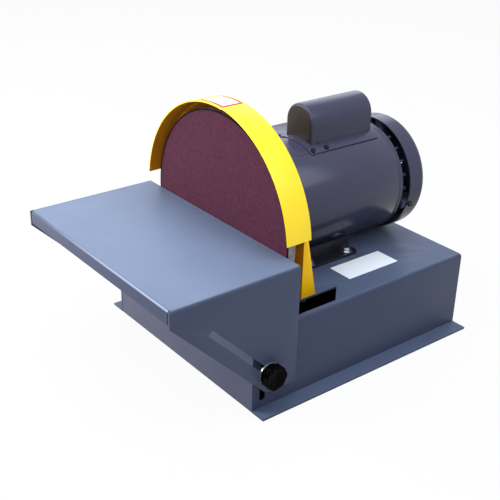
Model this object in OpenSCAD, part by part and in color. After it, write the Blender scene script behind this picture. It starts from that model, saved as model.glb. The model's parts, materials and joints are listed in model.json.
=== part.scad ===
// Benchtop disc sander: a disc on a foot-mounted motor, a folded base and a tilting folded table
// X runs to the operator's right, Y from the table towards the motor, Z up from the bench

/* [Base] */
// Outside width between the folded sides
base_w = 340; // [325:1:360]
// Depth from the front panel to the rear panel
base_d = 409; // [402:1:440]
// Height of the deck above the bench
base_h = 122; // [118:1:135]
// Thickness of the base sheet
base_t = 3; // [2:0.1:4]
// Outside radius of the folds along the deck
base_fold_r = 5; // [4.2:0.1:8]
// Width of the flange turned out along each side
flange_w = 24.5; // [18:0.5:40]
// Length of the slope that cuts off the top front corner of each side
nose_cut = 25; // [20:0.5:30]
// Width of the strip of deck left along each side of the disc opening
deck_strip = 8; // [6:0.5:12]
// Width of the notch beside each guard leg
notch_w = 29; // [20:0.5:30]
// Depth of that notch behind the guard back
notch_d = 37; // [30:0.5:45]

/* [Table] */
// Depth of the table top
table_d = 203; // [195:0.5:215]
// How far the table reaches out in front of the front panel
table_overhang = 137; // [130:0.5:145]
// How far the table top lies below the shaft axis
table_drop = 5.5; // [2:0.1:10]
// Thickness of the table sheet
table_t = 3; // [2:0.1:3.4]
// Outside radius of the table folds
table_fold_r = 4.5; // [4:0.1:7]
// Height of the front lip
lip_h = 19.5; // [14:0.5:24]
// Slit between the end of the lip and the cheek
lip_slit = 2; // [1:0.1:3]
// Gap between the base side and the cheek
cheek_gap = 8.5; // [7:0.1:12]
// Height of the cheek's bottom edge above the bench
cheek_z = 33; // [31:0.5:38]
// Distance of the cheek's sloping edge from the middle of its slot
cheek_edge = 24; // [18:0.5:28]

/* [Table clamp] */
// Distance of the clamp bolts behind the front panel
clamp_y = 18; // [16:0.5:22]
// Height of the clamp bolts above the bench
clamp_z = 63.5; // [60:0.5:68]
// Diameter of the clamp bolt
stud_d = 6; // [5:0.1:6.4]
// Width of the slot in the cheek
cheek_slot_w = 9; // [8.2:0.1:10]
// Slot length in front of the clamp bolt
cheek_slot_run = 131.5; // [125:0.5:140]
// Width of the upright slot in the base side
base_slot_w = 10.4; // [10:0.1:11.4]
// Height of the lower end of that slot
base_slot_z = 12; // [10:0.5:20]
// Outside diameter of the knob washer
washer_d = 33; // [30:0.5:35]
// Thickness of the knob washer
washer_t = 2; // [1.5:0.1:3]
// Diameter of the knob over its lobes
knob_d = 36; // [32:0.5:42]
// Thickness of the knob's head
knob_t = 12; // [10:0.5:16]
// Number of lobes around the knob
knob_lobes = 7; // [5:1:8]

/* [Disc] */
// Diameter of the disc
disc_d = 304.8; // [290:0.2:312]
// Gap between the table and the abrasive
disc_gap = 1.6; // [1.2:0.1:4]
// Thickness of the abrasive sheet
abrasive_t = 1; // [0.5:0.1:2]
// Thickness of the disc plate
plate_t = 12; // [9:0.5:15]
// Diameter of the hub behind the disc plate
hub_d = 60; // [48:1:70]
// Length of that hub
hub_l = 26; // [22:0.5:30]

/* [Guard] */
// Radial gap between the disc and the guard band
guard_gap = 12; // [8:0.1:13]
// Thickness of the guard band
guard_t = 2; // [1.2:0.1:3]
// Width of the guard band
guard_w = 42; // [36:0.5:44]
// How far the band stands in front of the abrasive
guard_lead = 12.6; // [10:0.1:16]
// Height of the band's ends above the shaft axis
guard_end_h = 17; // [12:0.5:30]
// Thickness of the guard back
guard_back_t = 2.5; // [1.5:0.1:3.5]
// Distance of the leg's outer face from the middle of the machine
leg_x = 132; // [124:0.5:133]
// Width of each leg
leg_w = 32; // [26:0.5:34]
// Depth of the gusset and foot at the bottom of each leg
leg_d = 26; // [22:0.5:30]

/* [Motor] */
// Height of the shaft axis above the deck
shaft_h = 92; // [88:0.1:97]
// Diameter of the shaft's free end
shaft_d = 15.875; // [14:0.025:16]
// Gap between the motor shell and the deck
shell_lift = 5.4; // [5:0.1:7]
// Thickness of the motor shell
shell_t = 2.5; // [1.5:0.1:3]
// Length of the motor shell
shell_l = 202; // [196:0.5:204]
// Distance of the first bolt holes behind the motor's face
foot_setback = 69.85; // [66:0.05:74]
// Spacing of the bolt holes along the shaft
foot_pitch_y = 76.2; // [70:0.1:84]
// Spacing of the bolt holes across the shaft
foot_pitch_x = 124; // [118:0.5:130]
// Thickness of the foot plate
foot_t = 4; // [3:0.1:4.4]
// Width of the foot plate
foot_w = 146; // [144:1:166]
// Length of the stator and rotor packs
core_l = 100; // [80:1:106]
// Air gap between stator and rotor
air_gap = 0.5; // [0.3:0.05:0.8]

/* [Fan cover] */
// How far the fan cover stands out beyond the motor shell
cover_step = 4; // [2:0.1:4.6]
// Length of the fan cover
cover_l = 34; // [32:0.5:38]
// Gap between the rear bell and the rim of the fan cover
cover_air = 8.5; // [8:0.1:10]
// Thickness of the fan cover sheet
cover_t = 1.6; // [1:0.1:2]
// Outside radius of the fan cover's rear edge
cover_r = 10; // [6:0.5:12]

/* [Capacitor cover] */
// Width of the capacitor cover
cap_w = 58; // [54:0.5:60]
// Length of the capacitor cover
cap_l = 121.5; // [114:0.5:124]
// Height of its top above the shaft axis
cap_h = 139; // [134:0.5:144]
// Thickness of the cover sheet
cap_t = 1.8; // [1:0.1:2.5]
// Radius of the cover's pressed edges
cap_edge_r = 5; // [3:0.5:7]
// Width of the saddle flange
saddle_w = 88; // [82:0.5:92]

/* [Conduit box] */
// Length of the box along the motor
box_l = 78; // [70:1:84]
// Height of the box
box_h = 60; // [54:1:66]
// How far the box stands out from the motor shell
box_out = 40; // [36:0.5:48]
// Wall of the box
box_t = 2; // [1.5:0.1:3]
// How far the box's middle stands above the shaft
box_rise = 29.5; // [28:0.5:31]
// How far the box's middle stands behind the middle of the motor foot
box_shift = 36; // [34:0.5:38]

/* [Hidden] */
$fn = 96;
// Overrun of every cut
cut = 1;
// Gap left along welds and press fits
seat_gap = 0.1;
// Gap between flat faces that slide on each other
slide_gap = 0.15;
// Radial clearance of a turning fit
run_gap = 0.05;
// Radial clearance of a bolt in its hole
bolt_gap = 0.4;

// Overall places
y_mid = (base_d - table_overhang) / 2;
shaft_z = base_h + shaft_h;
table_w = base_w + 2 * (cheek_gap + table_t);
table_z = shaft_z - table_drop;
table_front = -table_overhang;
table_rear = table_front + table_d;
side_in = base_w / 2 - base_t;
cheek_out = table_w / 2;
cheek_in = cheek_out - table_t;

// Spindle stations along Y
disc_y = table_rear + disc_gap;
plate_y = disc_y + abrasive_t;
hub_y = plate_y + plate_t;
hub_end = hub_y + hub_l;
bore_floor = 3;
shaft_y = plate_y + bore_floor + slide_gap;
guard_back_gap = 7.4;
guard_back_y = hub_end + guard_back_gap;
motor_gap = 1.65;
motor_y = guard_back_y + guard_back_t + motor_gap;
bolt_y = [motor_y + foot_setback, motor_y + foot_setback + foot_pitch_y];
core_y = (bolt_y[0] + bolt_y[1]) / 2 - core_l / 2 + shell_t;

// Motor shell, bells and bearings
shell_r = shaft_h - shell_lift;
shell_in = shell_r - shell_t;
bell_t = 5;
bell_nose_r = 28;
bell_nose_l = 6;
bell_cone = 10;
bell_step = 4;
bell_rim = 4;
bell_l = bell_nose_l + bell_cone + bell_step + bell_rim;
spigot_l = 6;
spigot_r = shell_in - seat_gap;
shell_y = motor_y + bell_l;
shell_end = shell_y + shell_l;
rear_rim = 12.5;
rear_round = 5;
rear_round_mid = rear_round * (1 - sqrt(0.5));
rear_cone = 4;
rear_bell_y = shell_end + rear_rim;
bearing_od = 40;
bearing_bore_d = 17;
bearing_w = 12;
race_t = 3.2;
ball_gap = 0.35;
ball_count = 8;
pocket_wall = 6;
bearing_y = [motor_y + bell_nose_l + bell_step, shell_end - bell_nose_l];
neck_gap = 1.2;
through_d = 5;
through_r = shell_in - through_d;
through_head_d = 8.5;
through_head_t = 3.5;
through_count = 4;
through_turn = 60;
fin_count = 24;
fin_w = 4;
fin_r = shell_r - bell_step;
fin_depth = 12;
fin_l = 7;
lug_w = 13;
lug_count = 3;
lug_turn = 102;

// Rotor, windings and fan
rotor_r = 46;
rotor_end_l = 9;
rotor_end_t = 14;
shaft_step_d = 22;
winding_l = 26;
winding_in_share = 1.16;
winding_out_share = 0.9;
winding_fillet = 5;
governor_r = 30;
governor_l = 12;
governor_gap = 8;
switch_plate_r = 34;
switch_plate_t = 3;
wave_t = 3;
fan_hub_r = 15;
fan_disc_t = 3;
fan_l = 16;
fan_tip_gap = 4;
fan_r = fin_r - fin_depth - fan_tip_gap;
fan_blades = 8;
fan_blade_t = 2.5;
fan_y = rear_bell_y + cover_air;
shaft_tail = 4;
shaft_end = fan_y + fan_l + shaft_tail;
key_w = 4.76;
key_l = 20;
set_screw_d = 8;
set_screw_l = 12;
set_screw_turns = [0, 90];
set_screw_depth = 1.5;
hex_key_d = 4.6;

// Fan cover
cover_r_out = shell_r + cover_step;
cover_y = rear_bell_y + cover_air;
cover_end = cover_y + cover_l;
grille_count = 12;
grille_w = 5;
grille_in = 20;
grille_out = 43;
cover_screw_d = 5;
cover_screw_l = 10;
cover_screw_head_d = 9;
cover_screw_head_t = 3;
cover_screw_set = 8;
// Flat top of a lug whose corners reach the cover's inside
lug_top = sqrt(pow(cover_r_out - cover_t - seat_gap, 2) - pow(lug_w / 2, 2));

// Foot and its bolts
foot_front = 13;
foot_back = 18;
foot_web_x = 46;
foot_web_t = 5;
foot_corner_r = 8;
hex_d = 14.4;
hex_t = 5.5;
bolt_d = 8;
bolt_tail = 4;
nut_t = 6.5;
plain_washer_d = 19;
plain_washer_t = 1.8;

// Capacitor cover and what it holds
saddle_t = 1.8;
saddle_lead = 11;
saddle_trail = 1;
cap_back = 11.65;
cap_y = shell_end - cap_back - cap_l;
cap_screw_d = 4;
cap_screw_l = saddle_t + shell_t;
cap_screw_head_d = 7.5;
cap_screw_head_t = 2.2;
cap_screw_y = [6, 32];
cap_screw_inset = 5.2;
capacitor_r = 20;
capacitor_l = 92;
capacitor_clip_t = 2;

// Conduit box, gland and switch
box_x = -(shell_r + box_out);
box_mid_y = (bolt_y[0] + bolt_y[1]) / 2 + box_shift;
box_mid_z = shaft_z + box_rise;
box_y = box_mid_y - box_l / 2;
box_z = box_mid_z - box_h / 2;
box_lid_t = 2;
box_lip = 3;
box_screw_d = 4;
box_screw_l = 9;
box_screw_head_d = 8;
box_screw_head_t = 2.5;
box_post_d = 8;
box_post_l = 2 * box_screw_l;
box_screw_inset = (box_post_d + box_t) / 2;
gland_d = 20;
gland_l = 16;
gland_nut_d = 26;
gland_nut_t = 7;
gland_bore_d = 9;
switch_l = 30;
switch_h = 22;
switch_deep = 22;
switch_neck_d = 11.6;
switch_neck_l = 8;
switch_nut_d = 16;
switch_nut_t = 2.5;
bat_d = 5;
bat_tip_d = 7;
bat_l = 18;
bat_rest = 15;
bat_pivot_d = 5.8;
bat_pivot_l = 5.6;
bat_pocket_d = 8.6;

// Clamp
bush_l = 18;
bush_flange_d = 20;
bush_flange_t = 1.5;
bush_w = cheek_slot_w - 2 * slide_gap;
spacer_d = 16;
carriage_head_d = 20;
carriage_head_t = 4;
carriage_neck = base_slot_w - 2 * slide_gap;
slot_end_gap = 0.6;
knob_hub_d = 20;
knob_hub_t = 3;
knob_edge_r = 3;
knob_lobe_share = 0.3;
knob_core_share = 0.86;
knob_cap = 3;
insert_d = 11;
insert_flange_d = 14;
insert_flange_t = 1.5;
stud_tip_gap = 1.5;
bush_x = cheek_in - slide_gap - bush_flange_t;
washer_x = cheek_out + slide_gap;
knob_x = washer_x + washer_t + slide_gap;
knob_end = knob_x + knob_hub_t + knob_t;
stud_end = knob_end - knob_cap - stud_tip_gap;
slope_sum = clamp_y + clamp_z - cheek_edge * sqrt(2);

// Guard
guard_r_in = disc_d / 2 + guard_gap;
guard_y = disc_y - guard_lead;
guard_end_a = asin(guard_end_h / (guard_r_in + guard_t));
skirt_end_a = 2;
skirt_reach = 14;
skirt_set = 4;
skirt_slant = 1.3;
gusset_top = 7;
leg_hole_inset = 13;

// Front panel lip and deck places
panel_h = base_h - nose_cut;
panel_lip = 16;
deck_lip = 6;
deck_front = guard_back_y - deck_lip;
notch_out = base_w / 2 - deck_strip;
notch_in = notch_out - notch_w;
notch_end = guard_back_y + notch_d;

// Colours
grey_base = [0.33, 0.36, 0.45];
grey_table = [0.42, 0.47, 0.58];
grey_motor = [0.27, 0.27, 0.33];
yellow = [0.98, 0.82, 0.16];
maroon = [0.36, 0.21, 0.29];
zinc = [0.75, 0.77, 0.8];
steel = [0.55, 0.56, 0.58];
silver = [0.72, 0.73, 0.75];
black = [0.06, 0.06, 0.07];
copper = [0.72, 0.43, 0.2];
brass = [0.78, 0.62, 0.3];

// Shared placing and shapes

// Brings the machine's middle over the origin
module placed() {
  translate([0, -y_mid, 0]) children();
}

// Extrudes an outline drawn in X and Z along Y
module along_y(y0, y1) {
  translate([0, y1, 0]) rotate([90, 0, 0]) linear_extrude(y1 - y0) children();
}

// Extrudes an outline drawn in Y and Z along X
module along_x(x0, x1) {
  translate([x0, 0, 0]) rotate([90, 0, 90]) linear_extrude(x1 - x0) children();
}

// Turns an outline drawn in radius and Y about the shaft axis
module turned() {
  translate([0, 0, shaft_z]) rotate([-90, 0, 0]) rotate_extrude() children();
}

// The same, over a sector from a0 to a1 degrees above the +X side
module turned_arc(a0, a1) {
  translate([0, 0, shaft_z]) rotate([-90, 0, 0]) rotate([0, 0, -a1])
    rotate_extrude(angle = a1 - a0) children();
}

// Places children drawn at the shaft's +X side at an angle above it
module around_shaft(a) {
  translate([0, 0, shaft_z]) rotate([0, -a, 0]) children();
}

// Cylinder along Y, X or Z from a first end
module rod_y(d, y0, y1) {
  translate([0, y0, 0]) rotate([-90, 0, 0]) cylinder(d = d, h = y1 - y0);
}

module rod_x(d, x0, x1) {
  translate([x0, 0, 0]) rotate([0, 90, 0]) cylinder(d = d, h = x1 - x0);
}

// Ring along Y about the shaft
module ring(r0, r1, y0, y1) {
  turned() translate([r0, y0]) square([r1 - r0, y1 - y0]);
}

// Outline of a rectangle on the base line with both top corners rounded
module fold_rect(w, h, r) {
  translate([-w / 2, 0]) square([w, h - r]);
  translate([r - w / 2, 0]) square([w - 2 * r, h]);
  for (side = [-1, 1]) translate([side * (w / 2 - r), h - r]) circle(r);
}

// Outline of an upright with a half round top
module dome_outline(w, h) {
  translate([-w / 2, 0]) square([w, h - w / 2]);
  translate([0, h - w / 2]) circle(d = w);
}

// Outline of a folded channel, open below
module fold_channel(w, h, r, t) {
  difference() {
    fold_rect(w, h, r);
    translate([0, -cut]) fold_rect(w - 2 * t, h - t + cut, r - t);
  }
}

// Outline of a folded corner: a leg going down from the fold and a leg going along from it
module fold_corner(down, along, r, t) {
  translate([0, -down]) square([t, down - r]);
  translate([r, -t]) square([along - r, t]);
  intersection() {
    translate([r, -r]) difference() {
      circle(r);
      circle(r - t);
    }
    translate([0, -r]) square(r);
  }
}

// Outline of a slot with round ends, from x0 to x1 between its end centres
module slot(x0, x1, w) {
  translate([x0, -w / 2]) square([x1 - x0, w]);
  for (x = [x0, x1]) translate([x, 0]) circle(d = w);
}

// Rectangle with four rounded corners, centred
module round_rect(w, h, r) {
  square([w - 2 * r, h], center = true);
  square([w, h - 2 * r], center = true);
  for (x = [-1, 1], y = [-1, 1]) translate([x * (w / 2 - r), y * (h / 2 - r)]) circle(r);
}

// Both sides of the machine
module both_sides() {
  children();
  mirror([1, 0, 0]) children();
}

// Centres of the motor's four bolts and of the guard's two bolts, seen from above
module at_foot_bolts(z) {
  for (x = [-1, 1], y = bolt_y) translate([x * foot_pitch_x / 2, y, z]) children();
}

module at_guard_bolts(z) {
  for (x = [-1, 1])
    translate([x * (leg_x - leg_hole_inset), guard_back_y + leg_d / 2 + guard_back_t / 2, z]) children();
}

// Hex bolt standing head up with the underside of its head at z = 0
module hex_bolt(grip) {
  cylinder(d = hex_d, h = hex_t, $fn = 6);
  translate([0, 0, -grip]) cylinder(d = bolt_d, h = grip + hex_t / 2);
}

module hex_nut() {
  difference() {
    cylinder(d = hex_d, h = nut_t, $fn = 6);
    translate([0, 0, -cut]) cylinder(d = bolt_d + 2 * run_gap, h = nut_t + 2 * cut);
  }
}

// Pan head screw pointing down with the underside of its head at z = 0
module pan_screw(d, l, head_d, head_t) {
  difference() {
    cylinder(d = head_d, h = head_t);
    translate([0, 0, head_t - d / 4]) for (a = [0, 90]) rotate(a)
      cube([head_d / 2, d / 5, d], center = true);
  }
  translate([0, 0, -l]) cylinder(d = d, h = l + head_t / 2);
}

// Base

module base_shell() {
  color(grey_base) difference() {
    along_y(0, base_d) {
      fold_channel(base_w, base_h, base_fold_r, base_t);
      for (side = [-1, 1])
        translate([side * (base_w + flange_w - base_t) / 2, base_t / 2])
          square([flange_w + base_t, base_t], center = true);
    }
    deck_opening();
    along_x(-base_w, base_w) polygon([
      [-cut, panel_h - cut], [nose_cut + cut, base_h + cut], [-cut, base_h + cut]
    ]);
    along_x(-base_w, base_w) translate([clamp_y, 0]) rotate(90)
      slot(base_slot_z + base_slot_w / 2, clamp_z + carriage_neck / 2, base_slot_w);
    at_foot_bolts(0) cylinder(d = bolt_d + 2 * bolt_gap, h = base_h + cut);
    at_guard_bolts(0) cylinder(d = bolt_d + 2 * bolt_gap, h = base_h + cut);
  }
}

// Opening of the deck for the disc, with a sloping notch beside each guard leg
module deck_opening() {
  translate([0, 0, base_h - base_fold_r]) linear_extrude(base_fold_r + cut) union() {
    translate([-notch_out, -cut]) square([2 * notch_out, deck_front + cut]);
    for (side = [-1, 1]) polygon([
      [side * notch_in, 0], [side * notch_out, 0],
      [side * notch_out, notch_end], [side * notch_in, notch_end + notch_w]
    ]);
  }
}

module front_panel() {
  color(grey_base) along_x(seat_gap - side_in, side_in - seat_gap)
    translate([0, panel_h]) fold_corner(panel_h, panel_lip, base_fold_r, base_t);
}

module rear_panel() {
  h = base_h - base_t - seat_gap;
  color(grey_base) intersection() {
    along_x(-side_in, side_in)
      translate([base_d, h]) mirror([1, 0]) fold_corner(h, panel_lip, base_fold_r, base_t);
    along_y(0, base_d + cut) fold_rect(2 * (side_in - seat_gap), h, base_fold_r - base_t);
  }
}

// Guard

module guard_band() {
  color(yellow) turned_arc(guard_end_a, 180 - guard_end_a)
    translate([guard_r_in, guard_y]) square([guard_t, guard_w]);
}

module guard_back() {
  color(yellow) difference() {
    union() {
      along_y(guard_back_y, guard_back_y + guard_back_t) guard_arch();
      turned_arc(guard_end_a + skirt_end_a, 180 - guard_end_a - skirt_end_a) guard_skirt();
      both_sides() {
        along_x(leg_x - guard_back_t, leg_x) translate([guard_back_y, base_h]) polygon([
          [0, 0], [leg_d, 0], [gusset_top, shaft_h], [0, shaft_h]
        ]);
        translate([leg_x - leg_w, guard_back_y, base_h]) cube([leg_w, leg_d, guard_back_t]);
      }
    }
    at_guard_bolts(0) cylinder(d = bolt_d + 2 * bolt_gap, h = shaft_z);
  }
}

// Arch with two straight legs
module guard_arch() {
  difference() {
    union() {
      translate([0, shaft_z]) circle(leg_x);
      translate([-leg_x, base_h]) square([2 * leg_x, shaft_h]);
    }
    translate([0, shaft_z]) circle(leg_x - leg_w);
    translate([leg_w - leg_x, 0]) square([2 * (leg_x - leg_w), shaft_z]);
    translate([-leg_x - cut, 0]) square([2 * (leg_x + cut), base_h]);
  }
}

// Skirt slanting from the arch out to the band and then forward along its inside, in radius and Y
module guard_skirt() {
  band_back = guard_y + guard_w;
  seat = guard_r_in - seat_gap;
  polygon([
    [leg_x - guard_back_t, guard_back_y], [leg_x - guard_back_t, guard_back_y + guard_back_t],
    [leg_x, guard_back_y + guard_back_t], [seat, band_back - skirt_set], [seat, band_back - skirt_reach],
    [seat - guard_back_t, band_back - skirt_reach],
    [seat - guard_back_t, band_back - skirt_set - skirt_slant]
  ]);
}

module guard_bolts() {
  color(zinc) at_guard_bolts(base_h + guard_back_t)
    hex_bolt(guard_back_t + base_t + nut_t + bolt_tail);
}

module guard_nuts() {
  color(zinc) at_guard_bolts(base_h - base_t - nut_t) hex_nut();
}

// Motor foot and its fasteners

module motor_foot() {
  y0 = bolt_y[0] - foot_front;
  y1 = bolt_y[1] + foot_back;
  color(grey_motor) difference() {
    union() {
      translate([0, (y0 + y1) / 2, base_h]) linear_extrude(foot_t)
        round_rect(foot_w, y1 - y0, foot_corner_r);
      for (side = [-1, 1])
        translate([side * foot_web_x - foot_web_t / 2, y0, base_h])
          cube([foot_web_t, y1 - y0, shaft_h / 2]);
    }
    translate([0, 0, shaft_z]) rod_y(2 * (shell_r + seat_gap), y0 - cut, y1 + cut);
    at_foot_bolts(base_h - cut) cylinder(d = bolt_d + 2 * bolt_gap, h = foot_t + 2 * cut);
  }
}

module foot_washers() {
  color(zinc) at_foot_bolts(base_h + foot_t) difference() {
    cylinder(d = plain_washer_d, h = plain_washer_t);
    translate([0, 0, -cut]) cylinder(d = bolt_d + 2 * bolt_gap, h = plain_washer_t + 2 * cut);
  }
}

module foot_bolts() {
  color(zinc) at_foot_bolts(base_h + foot_t + plain_washer_t)
    hex_bolt(plain_washer_t + foot_t + base_t + nut_t + bolt_tail);
}

module foot_nuts() {
  color(zinc) at_foot_bolts(base_h - base_t - nut_t) hex_nut();
}

// Motor housing

module motor_shell() {
  color(grey_motor) difference() {
    ring(shell_in, shell_r, shell_y, shell_end);
    cap_screw_holes();
  }
}

// Holes for the capacitor cover's screws, square to the shell
module cap_screw_holes() {
  at_cap_screws() translate([0, 0, -shell_r]) cylinder(d = cap_screw_d + 2 * run_gap, h = 2 * shell_r);
}

module front_bell() {
  cone_y = motor_y + bell_nose_l + bell_cone;
  hole_r = bearing_bore_d / 2 + neck_gap;
  seat_r = bearing_od / 2 + seat_gap / 2;
  color(grey_motor) difference() {
    turned() polygon([
      [hole_r, motor_y], [bell_nose_r, motor_y], [bell_nose_r, motor_y + bell_nose_l],
      [shell_r - bell_step, cone_y], [shell_r, cone_y + bell_step], [shell_r, shell_y],
      [spigot_r, shell_y], [spigot_r, shell_y + spigot_l],
      [spigot_r - bell_t, shell_y + spigot_l], [spigot_r - bell_t, cone_y + bell_t],
      [seat_r + pocket_wall, motor_y + bell_nose_l + bell_t],
      [seat_r + pocket_wall, bearing_y[0] + bearing_w],
      [seat_r, bearing_y[0] + bearing_w], [seat_r, bearing_y[0]], [hole_r, bearing_y[0]]
    ]);
    at_through_bolts() rod_y(through_d + 2 * bolt_gap, motor_y - cut, shell_end);
    at_through_bolts() rod_y(through_head_d + 2 * bolt_gap, motor_y - cut, through_y() + through_head_t);
  }
}

// The through bolts' heads sit in spot faces of the front bell
function through_y() = motor_y + bell_nose_l + bell_cone - bell_step;

module at_through_bolts() {
  for (k = [0:through_count - 1]) around_shaft(through_turn + k * 360 / through_count)
    translate([through_r, 0, 0]) children();
}

module through_bolts() {
  color(zinc) at_through_bolts() {
    rod_y(through_head_d, through_y(), through_y() + through_head_t);
    rod_y(through_d, through_y() + through_head_t / 2, rear_bell_y + through_head_t);
  }
}

module rear_bell() {
  hole_r = bearing_bore_d / 2 + neck_gap;
  seat_r = bearing_od / 2 + seat_gap / 2;
  pocket_end = bearing_y[1] + bearing_w + wave_t;
  color(grey_motor) difference() {
    union() {
      turned() polygon([
        [spigot_r - bell_t, shell_end - spigot_l], [spigot_r, shell_end - spigot_l],
        [spigot_r, shell_end], [shell_r, shell_end], [shell_r, rear_bell_y - rear_round],
        [shell_r - rear_round_mid, rear_bell_y - rear_round_mid],
        [shell_r - rear_round, rear_bell_y], [fin_r - fin_depth, rear_bell_y + rear_cone],
        [bell_nose_r, rear_bell_y + rear_cone], [hole_r, rear_bell_y + rear_cone],
        [hole_r, pocket_end], [seat_r, pocket_end],
        [seat_r, bearing_y[1]], [seat_r + pocket_wall, bearing_y[1]],
        [seat_r + pocket_wall, shell_end], [spigot_r - bell_t, shell_end]
      ]);
      for (k = [0:fin_count - 1]) around_shaft(k * 360 / fin_count)
        translate([fin_r - fin_depth, rear_bell_y - rear_rim / 2, -fin_w / 2])
          cube([fin_depth, fin_l + rear_rim / 2, fin_w]);
      at_lugs() {
        translate([fin_r - fin_depth, rear_bell_y - rear_rim / 2, -lug_w / 2])
          cube([fin_depth, fin_l + rear_rim / 2, lug_w]);
        translate([fin_r - fin_depth, rear_bell_y, -lug_w / 2])
          cube([lug_top - fin_r + fin_depth, cover_air + 2 * cover_screw_set, lug_w]);
      }
    }
    at_through_bolts() rod_y(through_d + 2 * run_gap, shell_end - spigot_l - cut, cover_end);
    at_cover_screws() translate([0, 0, -cover_screw_l - cut])
      cylinder(d = cover_screw_d + 2 * run_gap, h = 2 * cover_screw_l);
  }
}

module at_lugs() {
  for (k = [0:lug_count - 1]) around_shaft(lug_turn + k * 360 / lug_count) children();
}

// Screw heads on the cover's outside, local Z pointing out from the shaft
module at_cover_screws() {
  at_lugs() translate([cover_r_out, cover_y + cover_screw_set, 0]) rotate([0, 90, 0]) children();
}

module stator_core() {
  color(steel) difference() {
    ring(rotor_r + air_gap, shell_in - seat_gap, core_y, core_y + core_l);
    at_through_bolts() rod_y(through_d + 2 * bolt_gap, core_y - cut, core_y + core_l + cut);
  }
}

module stator_windings() {
  r0 = rotor_r * winding_in_share;
  r1 = through_r * winding_out_share;
  color(copper) for (y = [core_y - winding_l, core_y + core_l]) turned()
    translate([(r0 + r1) / 2, y + winding_l / 2]) round_rect(r1 - r0, winding_l, winding_fillet);
}

module start_switch() {
  color(brass) difference() {
    ring(bearing_od / 2 + pocket_wall + seat_gap, switch_plate_r + switch_plate_t,
      shell_end - spigot_l - switch_plate_t, shell_end - spigot_l);
    at_through_bolts() rod_y(through_d, core_y, shell_end);
  }
  color(brass) ring(switch_plate_r, switch_plate_r + switch_plate_t, shell_end - spigot_l, shell_end);
}

module wave_washer() {
  y0 = bearing_y[1] + bearing_w + seat_gap;
  color(steel) ring(bearing_od / 2 - race_t, bearing_od / 2, y0, y0 + wave_t - 2 * seat_gap);
}

module bearing_outer_races() {
  color(silver) for (y = bearing_y) ring(bearing_od / 2 - race_t, bearing_od / 2, y, y + bearing_w);
}

module bearing_inner_races() {
  color(silver) for (y = bearing_y)
    ring(bearing_bore_d / 2 + seat_gap / 2, bearing_bore_d / 2 + race_t, y, y + bearing_w);
}

module bearing_balls() {
  r0 = bearing_bore_d / 2 + race_t;
  r1 = bearing_od / 2 - race_t;
  color(silver) for (y = bearing_y, k = [0:ball_count - 1]) around_shaft(k * 360 / ball_count)
    translate([(r0 + r1) / 2, y + bearing_w / 2, 0]) sphere(d = r1 - r0 - 2 * ball_gap);
}

// Turning parts

module motor_shaft() {
  color(steel) difference() {
    turned() polygon([
      [0, shaft_y], [shaft_d / 2, shaft_y], [shaft_d / 2, motor_y],
      [bearing_bore_d / 2, motor_y], [bearing_bore_d / 2, bearing_y[0] + bearing_w],
      [shaft_step_d / 2, bearing_y[0] + bearing_w], [shaft_step_d / 2, bearing_y[1]],
      [bearing_bore_d / 2, bearing_y[1]], [bearing_bore_d / 2, shaft_end], [0, shaft_end]
    ]);
    key_seat(seat_gap);
  }
}

// Space of the key, half in the shaft and half in the hub, grown by a gap
module key_seat(gap) {
  w = key_w + 2 * gap;
  translate([-w / 2, hub_end - key_l - gap, shaft_z + shaft_d / 2 - w / 2])
    cube([w, key_l + 2 * gap, w]);
}

module shaft_key() {
  color(steel) key_seat(0);
}

module rotor_core() {
  color(steel) difference() {
    union() {
      ring(shaft_step_d / 2, rotor_r, core_y, core_y + core_l);
      for (y = [core_y - rotor_end_l, core_y + core_l])
        ring(rotor_r - rotor_end_t, rotor_r - air_gap, y, y + rotor_end_l);
    }
    translate([0, 0, shaft_z]) rod_y(shaft_step_d + seat_gap, core_y - cut, core_y + core_l + cut);
  }
}

module governor() {
  y0 = shell_end - spigot_l - switch_plate_t - governor_l - governor_gap;
  color(black) ring(shaft_step_d / 2 + seat_gap / 2, governor_r, y0, y0 + governor_l);
}

module cooling_fan() {
  color(black) {
    difference() {
      union() {
        ring(bearing_bore_d / 2 + seat_gap / 2, fan_hub_r, fan_y, fan_y + fan_l);
        ring(fan_hub_r - fan_disc_t, fan_r, fan_y, fan_y + fan_disc_t);
        for (k = [0:fan_blades - 1]) around_shaft(k * 360 / fan_blades)
          translate([fan_hub_r - fan_disc_t, fan_y, -fan_blade_t / 2])
            cube([fan_r - fan_hub_r, fan_l, fan_blade_t]);
      }
      translate([0, 0, shaft_z]) rod_y(bearing_bore_d + seat_gap, fan_y - cut, fan_y + fan_l + cut);
    }
  }
}

module disc_plate() {
  color(silver) difference() {
    union() {
      ring(0, disc_d / 2, plate_y, hub_y);
      ring(0, hub_d / 2, plate_y, hub_end);
    }
    translate([0, 0, shaft_z]) rod_y(shaft_d + seat_gap, plate_y + bore_floor, hub_end + cut);
    key_seat(seat_gap);
    at_set_screws() translate([0, 0, -hub_d / 2]) cylinder(d = set_screw_d + 2 * run_gap, h = hub_d);
  }
}

// Set screws square to the shaft, local Z pointing out of the hub's skin
module at_set_screws() {
  for (a = set_screw_turns) around_shaft(180 + a)
    translate([hub_d / 2, hub_y + hub_l / 2, 0]) rotate([0, 90, 0]) children();
}

module hub_set_screws() {
  // Length from just under the hub's skin down to the shaft
  reach = (hub_d - shaft_d) / 2 - seat_gap;
  color(black) at_set_screws() difference() {
    translate([0, 0, -reach]) cylinder(d = set_screw_d, h = reach - set_screw_depth);
    translate([0, 0, -set_screw_l / 2]) cylinder(d = hex_key_d, h = set_screw_l, $fn = 6);
  }
}

module abrasive_disc() {
  color(maroon) ring(0, disc_d / 2, disc_y, plate_y);
}

// Fan cover

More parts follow.
